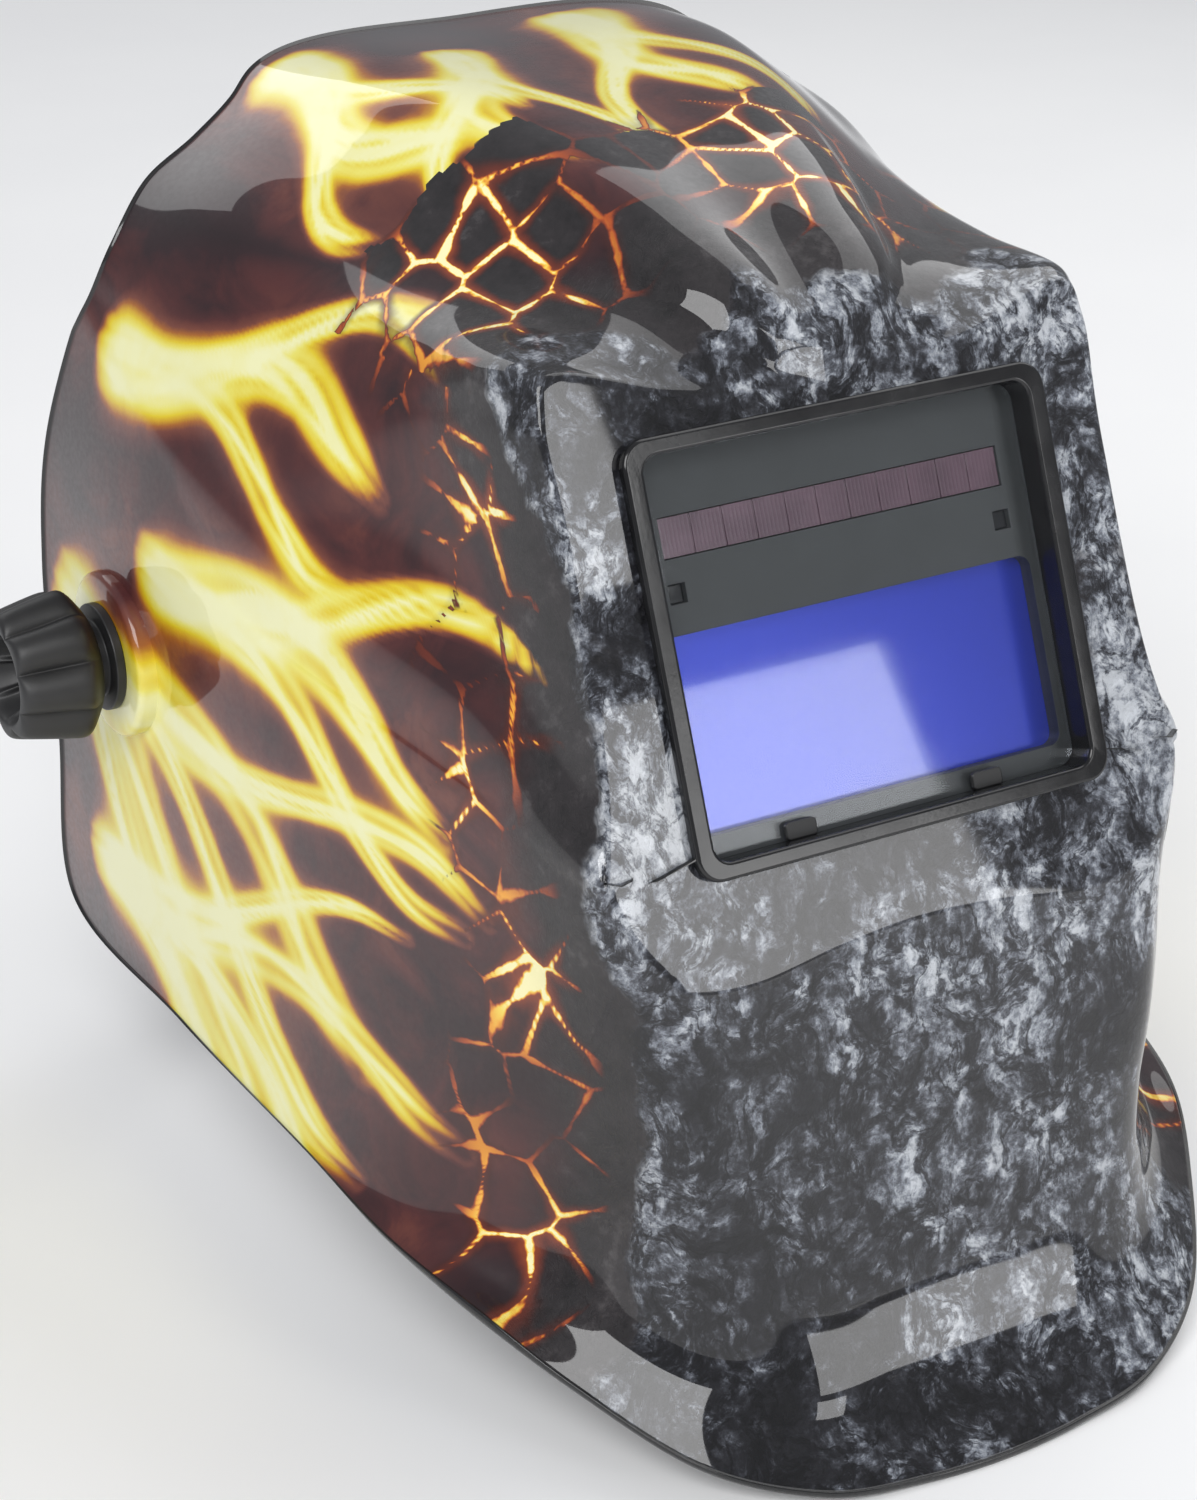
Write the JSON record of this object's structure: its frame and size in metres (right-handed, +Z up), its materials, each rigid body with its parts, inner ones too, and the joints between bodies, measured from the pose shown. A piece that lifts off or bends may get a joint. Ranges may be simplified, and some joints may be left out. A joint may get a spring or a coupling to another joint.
{
  "type": "welding helmet",
  "caption": "Auto-darkening welding helmet: faceted painted shell with a lens window, tilting on a ratchet headgear with crown straps and side knobs.",
  "frame": {"origin": "bottom centre of the object's box as it stands on its chin rim and nape unit", "axes": "+Z up, -Y the way the face looks, +X the wearer's left"},
  "size_m": [0.2854, 0.3302, 0.278],
  "materials": {
    "shell_paint": "gloss",
    "black_gloss": "gloss",
    "black_matte": "matte",
    "grey_housing": "satin",
    "clear_lens": "clear",
    "filter_glass": "coated",
    "solar": "gloss",
    "sensor": "gloss",
    "board_green": "satin",
    "steel": "brushed",
    "sweat_cloth": "woven",
    "dial_red": "satin"
  },
  "bodies": {
    "headgear": {"headband": "black_matte", "sweatband": "sweat_cloth", "crown_strap_front": "black_matte", "crown_strap_rear_left": "black_matte", "crown_strap_rear_right": "black_matte", "crown_pins": "black_gloss", "strap_rivets": "black_gloss", "band_corner_left": "black_matte", "band_corner_right": "black_matte"},
    "tilt_carrier": {"side_plate_left": "black_matte", "side_plate_right": "black_matte", "pivot_bolt_left": "steel", "pivot_bolt_right": "steel", "pivot_spacer_left": "black_matte", "pivot_spacer_right": "black_matte"},
    "shell": {"shell": "shell_paint", "lens_frame": "black_gloss", "front_cover_lens": "clear_lens", "cover_lens_clips": "black_matte", "cartridge_front": "grey_housing", "cartridge_rear": "black_matte", "solar_cell": "solar", "arc_sensors": "sensor", "lcd_filter": "filter_glass", "circuit_board": "board_green", "inside_cover_lens": "clear_lens", "cartridge_holder": "black_matte", "holder_screws": "steel", "friction_washer_left": "black_matte", "friction_washer_right": "black_matte", "outer_washer_left": "black_matte", "outer_washer_right": "black_matte"},
    "tension_knob_left": {"tension_knob_left": "black_matte"},
    "tension_knob_right": {"tension_knob_right": "black_matte"},
    "cartridge_latch": {"cartridge_latch": "steel"},
    "shade_knob": {"shade_knob": "grey_housing"},
    "sensitivity_knob": {"sensitivity_knob": "grey_housing"},
    "delay_knob": {"delay_knob": "grey_housing"},
    "test_button": {"test_button": "dial_red"},
    "battery_tray": {"battery_tray": "black_matte", "coin_cell": "steel"},
    "nape_unit": {"ratchet_housing": "black_matte", "ratchet_cover": "black_matte", "nape_pad": "sweat_cloth"},
    "nape_knob": {"nape_knob": "black_matte"},
    "rack_left": {"rack_left": "black_matte"},
    "rack_right": {"rack_right": "black_matte"}
  },
  "joints": [
    {"name": "fore_aft_slide", "type": "slide", "parent": "headgear", "child": "tilt_carrier", "axis": [0, 0.788, -0.6157], "range_m": [-0.008, 0.008]},
    {"name": "shell_tilt", "type": "hinge", "parent": "tilt_carrier", "child": "shell", "pos_m": [0, 0.06474, 0.13752], "axis": [-1, 0, 0], "range_deg": [-10, 60]},
    {"name": "left_knob_turn", "type": "hinge", "parent": "tilt_carrier", "child": "tension_knob_left", "pos_m": [0.13, 0.06474, 0.13752], "axis": [1, 0, 0], "continuous": true},
    {"name": "right_knob_turn", "type": "hinge", "parent": "tilt_carrier", "child": "tension_knob_right", "pos_m": [-0.13, 0.06474, 0.13752], "axis": [-1, 0, 0], "continuous": true},
    {"name": "latch_swing", "type": "hinge", "parent": "shell", "child": "cartridge_latch", "pos_m": [0, -0.10149, 0.13302], "axis": [1, 0, 0], "range_deg": [-30, 0]},
    {"name": "shade_turn", "type": "hinge", "parent": "shell", "child": "shade_knob", "pos_m": [-0.034, -0.07141, 0.19746], "axis": [0, -0.9285, 0.3714], "range_deg": [-135, 135]},
    {"name": "sensitivity_turn", "type": "hinge", "parent": "shell", "child": "sensitivity_knob", "pos_m": [-0.002, -0.07141, 0.19746], "axis": [0, -0.9285, 0.3714], "range_deg": [-135, 135]},
    {"name": "delay_turn", "type": "hinge", "parent": "shell", "child": "delay_knob", "pos_m": [0.026, -0.07141, 0.19746], "axis": [0, -0.9285, 0.3714], "range_deg": [-135, 135]},
    {"name": "test_press", "type": "slide", "parent": "shell", "child": "test_button", "axis": [0, -0.9285, 0.3714], "range_m": [0, 0.0012], "stiffness_N_per_m": 400, "springref_m": -0.0005},
    {"name": "tray_slide", "type": "slide", "parent": "shell", "child": "battery_tray", "axis": [1, 0, 0], "range_m": [0, 0.01]},
    {"name": "nape_slide", "type": "slide", "parent": "headgear", "child": "nape_unit", "axis": [0, 0.788, -0.6157], "range_m": [-0.008, 0.008], "deforming": ["band_corner_left", "band_corner_right"]},
    {"name": "nape_knob_turn", "type": "hinge", "parent": "nape_unit", "child": "nape_knob", "pos_m": [0, 0.13256, 0.02616], "axis": [0, 0.788, -0.6157], "range_deg": [-77, 77]},
    {"name": "rack_right_slide", "type": "slide", "parent": "nape_unit", "child": "rack_right", "axis": [1, 0, 0], "range_m": [-0.008, 0.008]},
    {"name": "rack_left_slide", "type": "slide", "parent": "nape_unit", "child": "rack_left", "axis": [-1, 0, 0], "range_m": [-0.008, 0.008]}
  ],
  "couplings": [
    {"joint": "nape_knob_turn", "follows": "nape_slide", "rad_per_m": -166.67},
    {"joint": "rack_right_slide", "follows": "nape_slide", "ratio": -1},
    {"joint": "rack_left_slide", "follows": "nape_slide", "ratio": -1}
  ]
}
